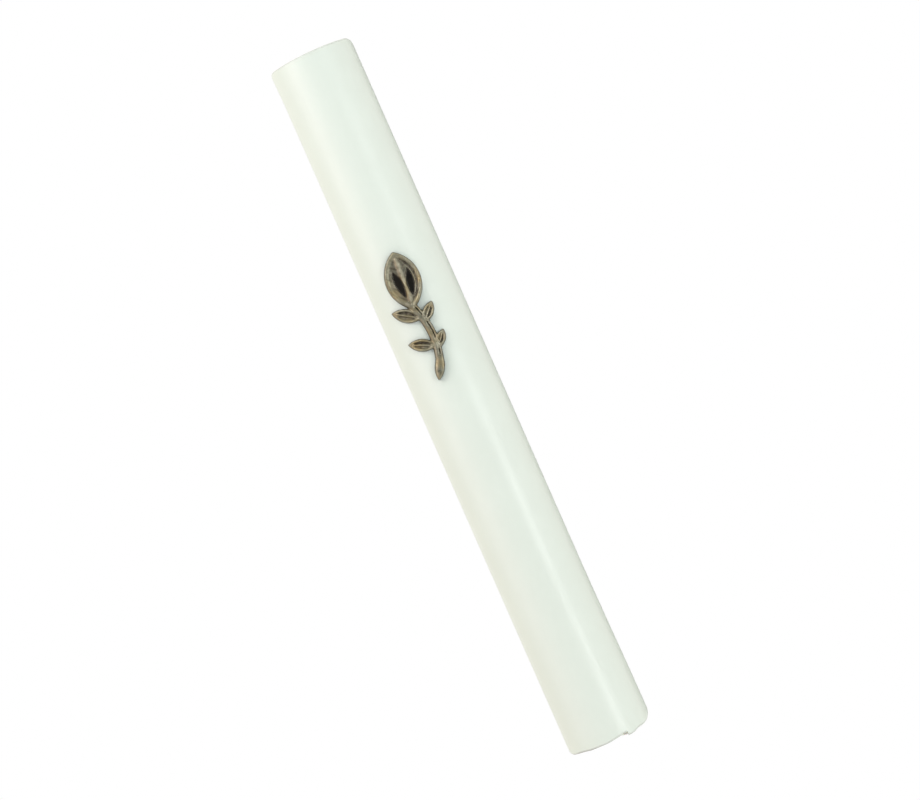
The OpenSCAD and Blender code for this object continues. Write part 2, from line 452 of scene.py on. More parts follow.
def cork_plastic():
    """Soft moulded polyethylene: waxy and off-white, with moulding grain."""
    s = Shader("cork_plastic")
    mottle = s.noise(4 * MM, 4)
    grain = s.noise(0.22 * MM, 3)
    wear = s.worn_edges(0.3 * MM)
    base = s.mix(s.remap(mottle, 0.3, 0.7), (0.83, 0.84, 0.79), (0.77, 0.78, 0.72))
    base = s.mix(s.math("MULTIPLY", wear, 0.3), base, (0.9, 0.9, 0.88))
    rough = s.remap(mottle, 0.3, 0.7, 0.42, 0.56)
    return s.set(
        Base_Color=base,
        Roughness=rough,
        Normal=s.bump(grain, 0.012 * MM),
        Subsurface_Weight=0.15,
        Subsurface_Scale=0.8 * MM,
        IOR=1.5,
    )


def foam():
    """Closed-cell foam tape: fine bubbles, and a slightly tacky sheen."""
    s = Shader("foam")
    bubbles = s.cells(0.28 * MM)
    clumps = s.noise(3 * MM, 4)
    base = s.mix(s.remap(clumps, 0.3, 0.7), (0.66, 0.66, 0.63), (0.56, 0.56, 0.53))
    base = s.mix(s.remap(bubbles, 0.1, 0.5), (0.47, 0.47, 0.45), base)
    rough = s.remap(bubbles, 0.1, 0.6, 0.75, 0.5)
    return s.set(Base_Color=base, Roughness=rough, Normal=s.bump(bubbles, 0.05 * MM), IOR=1.45)


def parchment():
    """Scraped skin: cream, with fibres, faint pores and darker edges."""
    s = Shader("parchment")
    cloud = s.noise(14 * MM, 5, 0.6)
    fibres = s.noise(1.0, 4, 0.6, vector=s.stretched(2600, 2600, 420), distortion=0.4)
    pores = s.remap(s.cells(0.55 * MM), 0.16, 0.02)
    edge = s.worn_edges(0.3 * MM)
    base = s.mix(s.remap(cloud, 0.3, 0.72), (0.83, 0.74, 0.55), (0.72, 0.61, 0.41))
    base = s.mix(s.remap(fibres, 0.45, 0.75, 0, 0.5), base, (0.88, 0.81, 0.65))
    base = s.mix(s.math("MULTIPLY", pores, 0.4), base, (0.5, 0.38, 0.22))
    base = s.mix(s.math("MULTIPLY", edge, 0.45), base, (0.55, 0.43, 0.25))
    relief = s.bump(fibres, 0.02 * MM)
    return s.set(
        Base_Color=base,
        Roughness=s.remap(fibres, 0.3, 0.7, 0.62, 0.82),
        Normal=s.bump(pores, 0.015 * MM, relief, 0.6),
        Subsurface_Weight=0.12,
        Subsurface_Scale=0.5 * MM,
        IOR=1.45,
    )


def film():
    """Thin clear polythene: mostly see-through, with crinkles and faint haze."""
    s = Shader("film")
    crinkle = s.noise(2.4 * MM, 4, 0.6, vector=s.stretched(1, 1, 0.5), distortion=1.2)
    haze = s.noise(6 * MM, 3)
    rough = s.remap(haze, 0.3, 0.7, 0.08, 0.22)
    base = s.mix(s.remap(haze, 0.3, 0.7), (0.9, 0.94, 0.95), (0.8, 0.86, 0.88))
    return s.set(
        Base_Color=base,
        Roughness=rough,
        Normal=s.bump(crinkle, 0.12 * MM),
        Alpha=0.24,
        IOR=1.5,
        Coat_Weight=0.6,
        Coat_Roughness=0.06,
    )


def pewter():
    """Antique cast pewter: near-black patina in the hollows, painted shade down the walls round its
    outline, olive grey faces and bright edges.
    """
    s = Shader("pewter")
    high = s.value_of("relief")
    mottle = s.noise(1.1 * MM, 5, 0.65)
    tint = s.noise(3.5 * MM, 2)
    cast = s.noise(0.2 * MM, 3, 0.6)
    pits = s.remap(s.cells(0.42 * MM), 0.14, 0.0)
    hollow = s.recess(0.9 * MM)
    rubbed = s.math("MULTIPLY", s.worn_edges(0.2 * MM), s.remap(mottle, 0.3, 0.55))
    base = s.mix(s.remap(mottle, 0.35, 0.65), (0.205, 0.194, 0.136), (0.37, 0.36, 0.272))
    base = s.mix(s.remap(tint, 0.45, 0.65, 0, 0.6), base, (0.36, 0.285, 0.14))
    # Darker as the relief gets lower, near black at its foot: patina in the grooves and on the hollows'
    # floors, and painted shade down the walls round the outline.
    base = s.mix(s.remap(high, 0.55, 0.25), base, (0.07, 0.06, 0.045))
    base = s.mix(s.remap(hollow, 0.3, 0.75), base, (0.03, 0.026, 0.02))
    base = s.mix(s.remap(high, 0.16, 0.08), base, (0.018, 0.016, 0.013))
    base = s.mix(s.math("MULTIPLY", pits, 0.6), base, (0.06, 0.05, 0.038))
    base = s.mix(s.math("MULTIPLY", rubbed, 0.8), base, (0.66, 0.62, 0.5))
    rough = s.remap(mottle, 0.3, 0.7, 0.26, 0.42)
    rough = s.math("ADD", rough, s.math("MULTIPLY", hollow, 0.3))
    relief = s.bump(cast, 0.05 * MM)
    relief = s.bump(mottle, 0.1 * MM, relief)
    return s.set(
        Base_Color=base,
        Roughness=rough,
        Metallic=0.92,
        Normal=s.bump(pits, 0.03 * MM, relief, 0.7),
    )


def floor_paint():
    """Pale matt floor that fades into the white of the studio away from the object."""
    s = Shader("floor_paint")
    grain = s.noise(30 * MM, 3)
    tone = s.mix(s.remap(grain, 0.3, 0.7), (0.86, 0.86, 0.86), (0.88, 0.88, 0.88))
    s.set(Base_Color=tone, Roughness=0.8)
    glow = s.node("ShaderNodeEmission", {"Color": (1, 1, 1, 1), "Strength": 1.0})
    distance = s.node("ShaderNodeVectorMath", {0: s.place}, operation="LENGTH").outputs["Value"]
    share = s.remap(distance, FADE_FROM, FADE_TO)
    blend = s.node("ShaderNodeMixShader", {0: share, 1: s.surface.outputs[0], 2: glow.outputs[0]})
    s.plug(s.output.inputs["Surface"], blend.outputs[0])
    return s.material


# ---------------------------------------------------------------- the case

def corner_drop(x, half_w, corners):
    """How far a rounded corner has fallen away at sideways places x, for (left, right) radii."""
    radius = np.where(x < 0, corners[0], corners[1])
    past = np.clip(radius - (half_w - np.abs(x)), 0, radius)
    return radius - np.sqrt(radius ** 2 - past ** 2)


def end_shape(x):
    """How far the bottom rim stands above the straight saw cut: rubbed up towards the notch and at
    both sides, cut up in the notch, and down on the lip."""
    rubbed = RUB_H * smoothstep(RUB_FROM, NOTCH_FROM, x) * (x < NOTCH_FROM)
    rubbed += SIDE_RUB_H * smoothstep(SIDE_RUB_FROM, SIDE_RUB_TO, np.abs(x))
    notch = NOTCH_H * ((x > NOTCH_FROM) & (x < NOTCH_TO))
    lip = LIP_H * smoothstep(LIP_TO, LIP_BEND, x)
    return rubbed + notch - lip * (x >= NOTCH_TO)


def rim_heights(x, front):
    """Heights of the shell's bottom and top ends at sideways places x. Front marks the places
    that are on the half round."""
    bottom = -HALF_L + CUT_SLOPE * x + corner_drop(x, HALF_W, BOTTOM_CORNERS) + end_shape(x) * front
    top = HALF_L + CUT_SLOPE * x - corner_drop(x, HALF_W, TOP_CORNERS)
    return bottom, top


def wall_places():
    """Points on the shell's end faces where the side walls run out into the rounded corners."""
    places = []
    for x in BEND_PLACES:
        for y in np.arange(LIP_Y - 0.3 * MM, ARC_Y - 3 * MM, -0.4 * MM):
            near_channel = y > CHANNEL_Y - 0.2 * MM and x < CHANNEL_W + 0.1 * MM
            spoke = math.hypot(x, min(y - ARC_Y, 0))
            in_wall = INNER_R + 0.15 * MM < spoke < HALF_W - 0.35 * MM
            if in_wall and not near_channel:
                places += [(x, y), (-x, y)]
    return np.array(places)


def fade_rim_shade(bm):
    """Weakens the painted shade line on the rims: to less than half at the top and at the bottom right.
    """
    rim = bm.verts.layers.float["rim"]
    for v in bm.verts:
        at_top = v.co.z > 0
        v[rim] *= 0.4 if at_top else 0.45 + 0.55 * float(smoothstep(0, -5 * MM, v.co.x))


def split_front(points, places):
    """The outline with extra points where its front walls cross these sideways places."""
    fine = []
    for a, b in zip(points, np.roll(points, -1, 0)):
        fine.append(a)
        low, high = sorted((a[0], b[0]))
        between = [x for x in places if low < x < high and a[1] < ARC_Y]
        for x in sorted(between, reverse=bool(b[0] < a[0])):
            fine.append(a + (b - a) * (x - a[0]) / (b[0] - a[0]))
    return np.array(fine)


def build_shell(material):
    """The shell's section, swept between the two saw cuts and dressed at its rims."""
    small = 0.12 * MM
    lip = 0.28 * MM
    left_inside = [
        (-MOUTH_W, LIP_Y, lip),
        (-MOUTH_W, CHANNEL_REAR_Y, small),
        (-CHANNEL_W, CHANNEL_REAR_Y, small),
        (-CHANNEL_W, CHANNEL_Y, small),
        (-INNER_R, CHANNEL_Y, small),
        (-INNER_R, ARC_Y - INNER_R, INNER_R),
    ]
    right_inside = [(-x, y, r) for x, y, r in reversed(left_inside)]
    outside = [
        (HALF_W, LIP_Y, lip),
        (HALF_W, CREST_Y, HALF_W),
        (-HALF_W, CREST_Y, HALF_W),
        (-HALF_W, LIP_Y, lip),
    ]
    hair = 0.02 * MM
    steps = [NOTCH_FROM - hair, NOTCH_FROM + hair, NOTCH_TO - hair, NOTCH_TO + hair]
    points = split_front(outline(outside + left_inside + right_inside), steps)
    x = points[:, 0]
    front = points[:, 1] < ARC_Y
    bottom, top = rim_heights(x, front)
    seams = [tuple(np.flatnonzero(front & (np.abs(x - step) < 1e-9))) for step in steps]
    places = wall_places()
    inside = (places, *rim_heights(places[:, 0], places[:, 1] < ARC_Y))
    spoke = np.hypot(x, np.minimum(points[:, 1] - ARC_Y, 0))
    outer = (spoke > HALF_W - 0.3 * MM) * smoothstep(7.6 * MM, 6.2 * MM, np.abs(x))
    edge = (0.1 + 0.16 * outer) * MM
    bm = bar(points, bottom, top, edge, rings=28, seams=seams, inside=inside)
    fade_rim_shade(bm)
    spread_foot(bm)
    add_piece("shell_profile", mesh_of(bm), "case", "front_shell", material)


def spread_foot(bm):
    """The plug's tab has pushed the right wall out a hair, and the saw left a burr at the top left."""
    spread = 0.24 * MM
    burr_out = 0.12 * MM
    for v in bm.verts:
        spoke = math.atan2(v.co.x, ARC_Y - v.co.y)
        foot = spread * smoothstep(-38 * MM, -68 * MM, v.co.z) * smoothstep(0.1, 1.1, spoke)
        burr = burr_out * smoothstep(63 * MM, 70 * MM, v.co.z) * smoothstep(-1.0, -1.5, spoke)
        v.co.x += float(foot + burr) * math.sin(spoke)
        v.co.y -= float(foot) * max(0.0, math.cos(spoke))


def d_outline(half_w, rear_y, corner):
    """Half-round front of this half width, with straight sides back to rear_y."""
    return outline([
        (half_w, rear_y, corner),
        (half_w, ARC_Y - half_w, half_w),
        (-half_w, ARC_Y - half_w, half_w),
        (-half_w, rear_y, corner),
    ])


def build_cap(material):
    """The glued top plug fills the chamber, the channel and the mouth."""
    gap = 0.03 * MM
    small = 0.1 * MM
    half = [
        (MOUTH_W - gap, LIP_Y, small),
        (MOUTH_W - gap, CHANNEL_REAR_Y - gap, small),
        (CHANNEL_W - gap, CHANNEL_REAR_Y - gap, small),
        (CHANNEL_W - gap, CHANNEL_Y + gap, small),
        (INNER_R - gap, CHANNEL_Y + gap, small),
        (INNER_R - gap, ARC_Y - INNER_R + gap, INNER_R - gap),
    ]
    points = outline(half + [(-x, y, r) for x, y, r in reversed(half)])
    bm = bar(points, CAP_LOW.z, CAP_HIGH.z, 0.08 * MM)
    add_piece("top_cap", mesh_of(bm), "case", "top_plug", material)


def build_cork(material):
    """The push-in plug: two sealing ribs, a waist and a finger tab."""
    full = CORK_HIGH.x
    rib = 1.6 * MM
    waist = 0.45 * MM
    bottom = -HALF_L + END_RECESS
    top = CORK_HIGH.z
    # Insets down a rib's shoulder, and how far each is past the rib's edge towards the waist
    shoulder = [(0.0, -0.2 * MM), (0.06 * MM, 0.0), (waist - 0.05 * MM, 0.25 * MM), (waist, 0.5 * MM)]
    levels = [(inset, bottom + rise) for inset, rise in rounded_rim(0.3 * MM)]
    levels += [(inset, bottom + rib + past) for inset, past in shoulder]
    levels += [(inset, top - rib - past) for inset, past in reversed(shoulder)]
    levels += [(inset, top - rise) for inset, rise in reversed(rounded_rim(0.45 * MM))]
    body = mesh_of(stack(d_outline(full, CHANNEL_Y, 0.7 * MM), levels))
    points = tab_outline(full - PLUG_GAP)
    tab_low = CORK_LOW.z + TAB_BEVEL * smoothstep(3.2 * MM, 1.8 * MM, points[:, 0])
    tab = mesh_of(bar(points, tab_low, bottom + rib, 0.15 * MM))
    mesh = combine(body, [tab], "UNION")
    add_piece("bottom_cork", mesh, "plug", "bottom_plug", material)


def tab_outline(outer_r):
    """Arc of a ring about the centre of the half round, with round ends."""
    middle_r = outer_r - TAB_T / 2
    inner_r = outer_r - TAB_T
    reach = TAB_T / 2 / middle_r
    spokes = np.linspace(TAB_FROM + reach, TAB_TO - reach, 24)
    points = [(outer_r * math.sin(a), ARC_Y - outer_r * math.cos(a)) for a in spokes]
    points += end_cap(spokes[-1], middle_r, 1)
    points += [(inner_r * math.sin(a), ARC_Y - inner_r * math.cos(a)) for a in spokes[::-1]]
    points += end_cap(spokes[0], middle_r, -1)
    return np.array(points)


def end_cap(spoke, middle_r, way):
    """Half circle that closes the tab's outline at one end, from outside in or from inside out."""
    centre = Vector((middle_r * math.sin(spoke), ARC_Y - middle_r * math.cos(spoke)))
    out = Vector((math.sin(spoke), -math.cos(spoke))) * way
    along = Vector((math.cos(spoke), math.sin(spoke))) * way
    turns = [math.pi * i / 10 for i in range(1, 10)]
    return [tuple(centre + (out * math.cos(a) + along * math.sin(a)) * (TAB_T / 2)) for a in turns]


def build_plate(material):
    """The back plate: a flat strip with two thin tongues and two countersunk holes."""
    small = 0.12 * MM
    lead_in = MM
    tongue_y = PLATE_LOW.y + TONGUE_T
    points = outline([
        (PLATE_HALF_W, PLATE_HIGH.y, 0.2 * MM),
        (PLATE_HALF_W, tongue_y, small),
        (TONGUE_W, tongue_y, small),
        (TONGUE_W, PLATE_LOW.y, small),
        (-TONGUE_W, PLATE_LOW.y, small),
        (-TONGUE_W, tongue_y, small),
        (-PLATE_HALF_W, tongue_y, small),
        (-PLATE_HALF_W, PLATE_HIGH.y, 0.2 * MM),
    ])
    points = refine(points, 0.8 * MM)
    low = PLATE_LOW.z + corner_drop(points[:, 0], TONGUE_W, (lead_in, lead_in))
    bm = bar(points, low, PLATE_HIGH.z, 0.1 * MM, rings=20)
    mesh = combine(mesh_of(bm), [screw_cutter(-SCREW_Z), screw_cutter(SCREW_Z)], "DIFFERENCE")
    add_piece("back_strip", mesh, "back", "back_plate", material)


def screw_cutter(z):
    """What one countersunk screw hole takes out of the plate."""
    front = -PLATE_LOW.y
    rear = -PLATE_HIGH.y
    sink = SCREW_HEAD_R - SCREW_R
    ease = 0.15 * MM
    bm = lathe([
        (0, rear - MM),
        (SCREW_R + ease + MM, rear - MM),
        (SCREW_R, rear + ease),
        (SCREW_R, front - sink),
        (SCREW_HEAD_R - 0.05 * MM, front - 0.05 * MM),
        (SCREW_HEAD_R + 0.05 * MM, front + 0.02 * MM),
        (SCREW_HEAD_R + 0.05 * MM, front + MM),
        (0, front + MM),
    ])
    mesh = mesh_of(bm)
    mesh.transform(Matrix.Translation((0, 0, z)) @ Matrix.Rotation(math.pi / 2, 4, "X"))
    return mesh


def build_tape(material):
    """The foam tape, with ragged cut sides."""
    half_w = TAPE_HIGH.x
    corner = 0.15 * MM
    points = outline([
        (half_w, TAPE_HIGH.y, corner),
        (half_w, TAPE_LOW.y, corner),
        (-half_w, TAPE_LOW.y, corner),
        (-half_w, TAPE_HIGH.y, corner),
    ])
    bm = bar(refine(points, 0.7 * MM), TAPE_LOW.z, TAPE_HIGH.z, 0.12 * MM, rings=180)
    rng = np.random.default_rng(7)
    ragged = rng.normal(0, 0.03 * MM, len(bm.verts))
    for v, pull in zip(bm.verts, ragged):
        side = smoothstep(0.93 * half_w, half_w, abs(v.co.x))
        v.co.x -= math.copysign(abs(pull), v.co.x) * float(side)
    mesh = mesh_of(bm, sharp=math.radians(60))
    add_piece("tape_strip", mesh, "back", "foam_tape", material)


# ---------------------------------------------------------------- the parchment

SHEET_T = 0.22 * MM
ROLL_TURNS = 6.5
ROLL_PITCH = 0.28 * MM
ROLL_CORE_R = 2.0 * MM


def build_roll(material):
    """A blank sheet rolled up loosely: one band that spirals outwards and lifts at its outer edge."""
    centre_y = (ROLL_LOW.y + ROLL_HIGH.y) / 2
    low = ROLL_LOW.z + 0.2 * MM
    height = ROLL_HIGH.z - ROLL_LOW.z - 0.4 * MM
    per_turn = 60
    turns = np.linspace(0, ROLL_TURNS, int(ROLL_TURNS * per_turn))
    edge_from = ROLL_TURNS - 0.06
    rows = 33
    bm = bmesh.new()
    grid = []
    for turn in turns:
        angle = 2 * math.pi * turn
        inner = ROLL_CORE_R + ROLL_PITCH * turn
        inner += 0.05 * MM * float(smoothstep(edge_from, ROLL_TURNS, turn))
        slip = 0.12 * MM * math.sin(1.3 * turn) + 0.05 * MM * math.sin(7.1 * turn)
        column = []
        for row in range(rows):
            t = row / (rows - 1)
            z = low + height * t + slip
            wave = 0.025 * MM * math.sin(2 * angle + 9 * t) + 0.02 * MM * math.sin(3 * angle - 17 * t)
            for r in (inner + wave, inner + wave + SHEET_T):
                column.append(bm.verts.new((r * math.cos(angle), centre_y + r * math.sin(angle), z)))
        grid.append(column)
    for a, b in zip(grid, grid[1:]):
        for i in range(0, 2 * rows - 2, 2):
            bm.faces.new((a[i], b[i], b[i + 2], a[i + 2]))
            bm.faces.new((a[i + 1], a[i + 3], b[i + 3], b[i + 1]))
        bm.faces.new((a[0], a[1], b[1], b[0]))
        bm.faces.new((a[-2], b[-2], b[-1], a[-1]))
    for column in (grid[0], grid[-1]):
        for i in range(0, 2 * rows - 2, 2):
            bm.faces.new((column[i], column[i + 1], column[i + 3], column[i + 2]))
    mesh = mesh_of(bm, sharp=math.radians(50))
    add_piece("parchment_roll", mesh, "scroll", "parchment_scroll", material)


def sleeve_radius(t, angle, from_end):
    """Outer radius of the film: crinkled, thicker at its seam, and drawn in at the ends."""
    seam_at = 4.2
    seam_w = 0.06
    outer = SLEEVE_HIGH.x - 0.03 * MM
    draw = 0.35 * MM * (1 - float(smoothstep(0, 1.2 * MM, from_end)))
    fold = math.sin(5 * angle + 11 * t) * math.sin(23 * t + 2 * angle)
    seam = math.exp(-((angle - seam_at) / seam_w) ** 2)
    return outer - draw - 0.03 * MM * (1 + fold) + 0.05 * MM * seam


def build_sleeve(material):
    """The film sleeve: a thin tube round the parchment."""
    centre_y = (SLEEVE_LOW.y + SLEEVE_HIGH.y) / 2
    thick = 0.05 * MM
    around = 120
    rows = 122
    bm = bmesh.new()
    grid = []
    for row in range(rows):
        t = row / (rows - 1)
        z = SLEEVE_LOW.z + (SLEEVE_HIGH.z - SLEEVE_LOW.z) * t
        from_end = min(z - SLEEVE_LOW.z, SLEEVE_HIGH.z - z)
        ring = []
        for i in range(around):
            angle = 2 * math.pi * i / around
            r = sleeve_radius(t, angle, from_end)
            ring.append([
                bm.verts.new((k * math.cos(angle), centre_y + k * math.sin(angle), z))
                for k in (r - thick, r)
            ])
        grid.append(ring)
    for low, high in zip(grid, grid[1:]):
        for i in range(around):
            j = (i + 1) % around
            bm.faces.new((low[i][1], low[j][1], high[j][1], high[i][1]))
            bm.faces.new((low[i][0], high[i][0], high[j][0], low[j][0]))
    for ring in (grid[0], grid[-1]):
        for i in range(around):
            j = (i + 1) % around
            bm.faces.new((ring[i][0], ring[j][0], ring[j][1], ring[i][1]))
    mesh = mesh_of(bm, sharp=math.radians(60))
    add_piece("film_sleeve", mesh, "scroll", "scroll_sleeve", material)


# ---------------------------------------------------------------- the emblem

# Everything about the emblem is in millimetres, and its own shape is drawn from its centre.
# Leaves are (base x, base z, lean in degrees, length, width). The big leaf has two hollows, and
# the tail ends the stem.
BIG_LEAF = (0.6, 1.4, -3, 11.3, 6.8)
HOLLOWS = [(0.2, 3.8, 6, 5.6, 1.5), (1.6, 3.6, -10, 5.6, 1.5)]
LEAFLETS = [
    (1.3, -0.8, 58, 5.8, 2.6),
    (1.4, -1.7, -42, 4.3, 2.1),
    (1.8, -6.5, 66, 5.4, 2.4),
    (1.8, -7.1, -38, 3.8, 1.9),
]
TAIL = (1.8, -8.2, 153, 5.0, 1.9)

# The stem is an arc about a centre far to the left
STEM_CENTRE = (-13.7, -4.5)
STEM_R = 15.6
STEM_W = 1.6
STEM_TOP = 3.0
STEM_FOOT = -10.4

# Where the emblem sits on the case, the grid that it is cut from, and heights off the case
EMBLEM_X = -2.0
EMBLEM_Z = 17.0
GRID_X = (-3.9, 4.6)
GRID_Z = (-12.9, 12.9)
CELL = 0.06
EMBLEM_T = 1.15
EMBLEM_WEB = 0.45
EMBLEM_WALL = 0.42
EMBLEM_GAP = 0.03


def leaf_place(leaf, x, z):
    """Place along a leaf from its base, place across it, and distance outside its outline."""
    base_x, base_z, lean, length, width = leaf
    a = math.radians(lean)
    dx = x - base_x
    dz = z - base_z
    along = -math.sin(a) * dx + math.cos(a) * dz
    across = math.cos(a) * dx + math.sin(a) * dz
    radius = (length ** 2 + width ** 2) / (4 * width)
    offset = radius - width / 2
    outside = np.hypot(np.abs(across) + offset, along - length / 2) - radius
    return along, across, outside


def stem_place(x, z):
    """Distance to the right of the stem's middle line and distance outside the stem."""
    off = np.hypot(x - STEM_CENTRE[0], z - STEM_CENTRE[1]) - STEM_R
    past = np.maximum(z - STEM_TOP, STEM_FOOT - z)
    return off, np.maximum(np.abs(off) - STEM_W / 2, past)


def smooth_min(a, b, k):
    """The smaller of two distances, blended where they differ by less than k."""
    h = np.clip(0.5 + 0.5 * (b - a) / k, 0, 1)
    return b * (1 - h) + a * h - k * h * (1 - h)


def sprig_outside(x, z):
    """Distance outside the sprig's outline, in millimetres and negative inside."""
    outside = leaf_place(BIG_LEAF, x, z)[2]
    for leaf in LEAFLETS + [TAIL]:
        outside = smooth_min(outside, leaf_place(leaf, x, z)[2], 0.25)
    return smooth_min(outside, stem_place(x, z)[1], 0.3)


def vein_grooves(along, across, length, spacing):
    """Slanting side veins of a leaf, 1 in a groove and 0 between."""
    phase = (along - 0.8 * np.abs(across)) / spacing
    wave = np.abs(phase - np.round(phase)) * 2
    past_base = smoothstep(0.1 * length, 0.22 * length, along)
    before_tip = smoothstep(0.97 * length, 0.82 * length, along)
    return (1 - smoothstep(0.0, 0.5, wave)) * (past_base * before_tip)


def leaf_face(leaf, x, z, rim_w, spacing):
    """Height of one leaf's face: a raised rim with a sunken line inside it, a midrib and veins."""
    along, across, outside = leaf_place(leaf, x, z)
    length = leaf[3]
    rim = np.exp(-((outside + 0.8 * rim_w) / rim_w) ** 2)
    rib = np.exp(-(across / (0.6 * rim_w)) ** 2) * smoothstep(length, 0.8 * length, along)
    veins = vein_grooves(along, across, length, spacing)
    veins = veins * smoothstep(0.3 * rim_w, rim_w, np.abs(across))
    swell = 0.12 * smoothstep(0.1, 0.5, np.abs(across) / leaf[4])
    line = np.exp(-((outside + 1.9 * rim_w) / (0.4 * rim_w)) ** 2)
    line = line * (0.2 + 0.8 * smoothstep(0, 0.25, across / leaf[4]))
    face = 0.72 + swell + 0.3 * np.maximum(rim, rib) - 0.07 * veins - 0.24 * line
    return face - 3 * np.maximum(outside, 0)


def dome(off, width):
    """Height of a round-topped strip of this width at this distance from its middle line."""
    return 0.62 + 0.44 * np.sqrt(np.clip(1 - (2 * off / width) ** 2, 0, 1))


def sprig_height(x, z):
    """Height of the sprig's face above the case, in millimetres."""
    height = leaf_face(BIG_LEAF, x, z, rim_w=0.5, spacing=1.5)
    for hollow in HOLLOWS:
        inside = smoothstep(0.07, -0.13, leaf_place(hollow, x, z)[2])
        height = height + (EMBLEM_WEB - height) * inside
    for leaf in LEAFLETS:
        height = np.maximum(height, leaf_face(leaf, x, z, rim_w=0.36, spacing=1.3) - 0.04)
    off, outside = stem_place(x, z)
    groove = 0.36 * np.exp(-((off - 0.28) / 0.12) ** 2)
    stem = dome(off, STEM_W) - groove - 3 * np.maximum(outside, 0)
    tip_off, tip_outside = leaf_place(TAIL, x, z)[1:]
    tip = dome(tip_off, TAIL[4]) - 3 * np.maximum(tip_outside, 0)
    return np.maximum(height, np.maximum(stem, tip))


def build_emblem(material):
    """The cast leaf sprig, as a relief on the round of the case."""
    x, z = np.meshgrid(np.arange(*GRID_X, CELL), np.arange(*GRID_Z, CELL), indexing="ij")
    inside = sprig_outside(x, z) < -0.25 * CELL
    kept = inside[:-1, :-1] & inside[1:, :-1] & inside[:-1, 1:] & inside[1:, 1:]
    around = np.zeros(inside.shape, int)
    for i in (0, 1):
        for j in (0, 1):
            around[i:i + kept.shape[0], j:j + kept.shape[1]] += kept
    x, z = settle_on_outline(x, z, (around > 0) & (around < 4))
    height = relief_with_round_edge(x, z)
    add_relief(x, z, height, kept, around > 0, material)


def settle_on_outline(x, z, rim):
    """Moves the rim's points onto the true outline, so that it isn't stepped."""
    step = 0.01
    for _ in range(4):
        d = sprig_outside(x, z)
        gx = (sprig_outside(x + step, z) - d) / step
        gz = (sprig_outside(x, z + step) - d) / step
        size = np.maximum(gx ** 2 + gz ** 2, 0.2)
        x = np.where(rim, x - d * gx / size, x)
        z = np.where(rim, z - d * gz / size, z)
    return x, z


def relief_with_round_edge(x, z):
    """The face's height, rounded over towards a low wall at the outline."""
    edge = 0.34
    inside = np.clip(-sprig_outside(x, z) / edge, 0, 1)
    face = np.minimum(sprig_height(x, z), EMBLEM_T)
    ripple = 0.014 * np.sin(3.1 * x + 1.7 * z) * np.sin(2.3 * z - 1.1 * x)
    return EMBLEM_WALL + (face + ripple - EMBLEM_WALL) * np.sqrt(1 - (1 - inside) ** 2)


def on_case(x, z, height):
    """Point over the case at sideways place x and height z, this far off its surface, in metres."""
    x = (x + EMBLEM_X) * MM
    radius = HALF_W + height * MM
    return (x, ARC_Y - math.sqrt(radius ** 2 - x ** 2), (z + EMBLEM_Z) * MM)


def add_relief(x, z, height, kept, used, material):
    """The relief's face, with a back that follows the case and a wall round its outline. Its point
    value relief is 0 at the foot of the face and 1 at its top."""
    bm = bmesh.new()
    layer = bm.verts.layers.float.new("relief")
    face, back = {}, {}
    for i, j in zip(*np.nonzero(used)):
        key = (int(i), int(j))
        face[key] = bm.verts.new(on_case(x[key], z[key], height[key]))
        face[key][layer] = (height[key] - EMBLEM_WALL) / (EMBLEM_T - EMBLEM_WALL)
        back[key] = bm.verts.new(on_case(x[key], z[key], EMBLEM_GAP))
    for i, j in zip(*np.nonzero(kept)):
        ring = [(int(i), int(j)), (int(i) + 1, int(j)), (int(i) + 1, int(j) + 1), (int(i), int(j) + 1)]
        bm.faces.new([face[k] for k in ring])
        bm.faces.new([back[k] for k in reversed(ring)])
        for a, b, (ni, nj) in zip(ring, ring[1:] + ring[:1], [(0, -1), (1, 0), (0, 1), (-1, 0)]):
            if not kept[i + ni, j + nj]:
                bm.faces.new([face[b], face[a], back[a], back[b]])
    mesh = mesh_of(bm, sharp=math.radians(50))
    add_piece("leaf_sprig", mesh, "case", "emblem", material)


# ---------------------------------------------------------------- studio

def build_camera():
    """Level with the middle of the case and rolled, so that the case leans to the left."""
    roll = math.radians(23.8)
    distance = 0.554
    drop = 0.62 * MM
    shift_left = 0.14 * MM
    right = Vector((math.cos(roll), 0, -math.sin(roll)))
    up = Vector((math.sin(roll), 0, math.cos(roll)))
    back = Vector((0, -1, 0))
    place = Vector((0, ARC_Y, 0)) + back * distance - up * drop - right * shift_left
    data = bpy.data.cameras.new("camera")
    data.lens = 115.0
    data.sensor_width = 36.0
    camera = bpy.data.objects.new("camera", data)
    camera.matrix_world = Matrix((
        (right.x, up.x, back.x, place.x),
        (right.y, up.y, back.y, place.y),
        (right.z, up.z, back.z, place.z),
        (0, 0, 0, 1),
    ))
    bpy.context.scene.collection.objects.link(camera)
    bpy.context.scene.camera = camera


# The floor's height and radius, and the distances over which it fades into white
FLOOR_Z = -0.45
FLOOR_R = 1.55
FADE_FROM = 0.5
FADE_TO = 1.3

# Light that reaches the case from round about: azimuth in degrees from the front, and colour
AROUND = [
    (-160, (1.0, 1.0, 1.0)),
    (-120, (0.7, 0.6, 0.45)),
    (-80, (0.45, 0.35, 0.25)),
    (-60, (0.0, 0.0, 0.0)),
    (-20, (0.4, 0.5, 0.55)),
    (20, (0.0, 0.05, 0.1)),
    (40, (0.0, 0.0, 0.0)),
    (60, (1.7, 1.65, 1.65)),
    (100, (0.85, 0.7, 0.7)),
    (120, (0.6, 0.5, 0.45)),
    (140, (0.0, 0.0, 0.0)),
]
OVERHEAD = (1.0, 0.95, 0.85)
SOFTBOX = (2.65, 2.1, 2.15)
STRIP = (15.6, 15.8, 16.0)


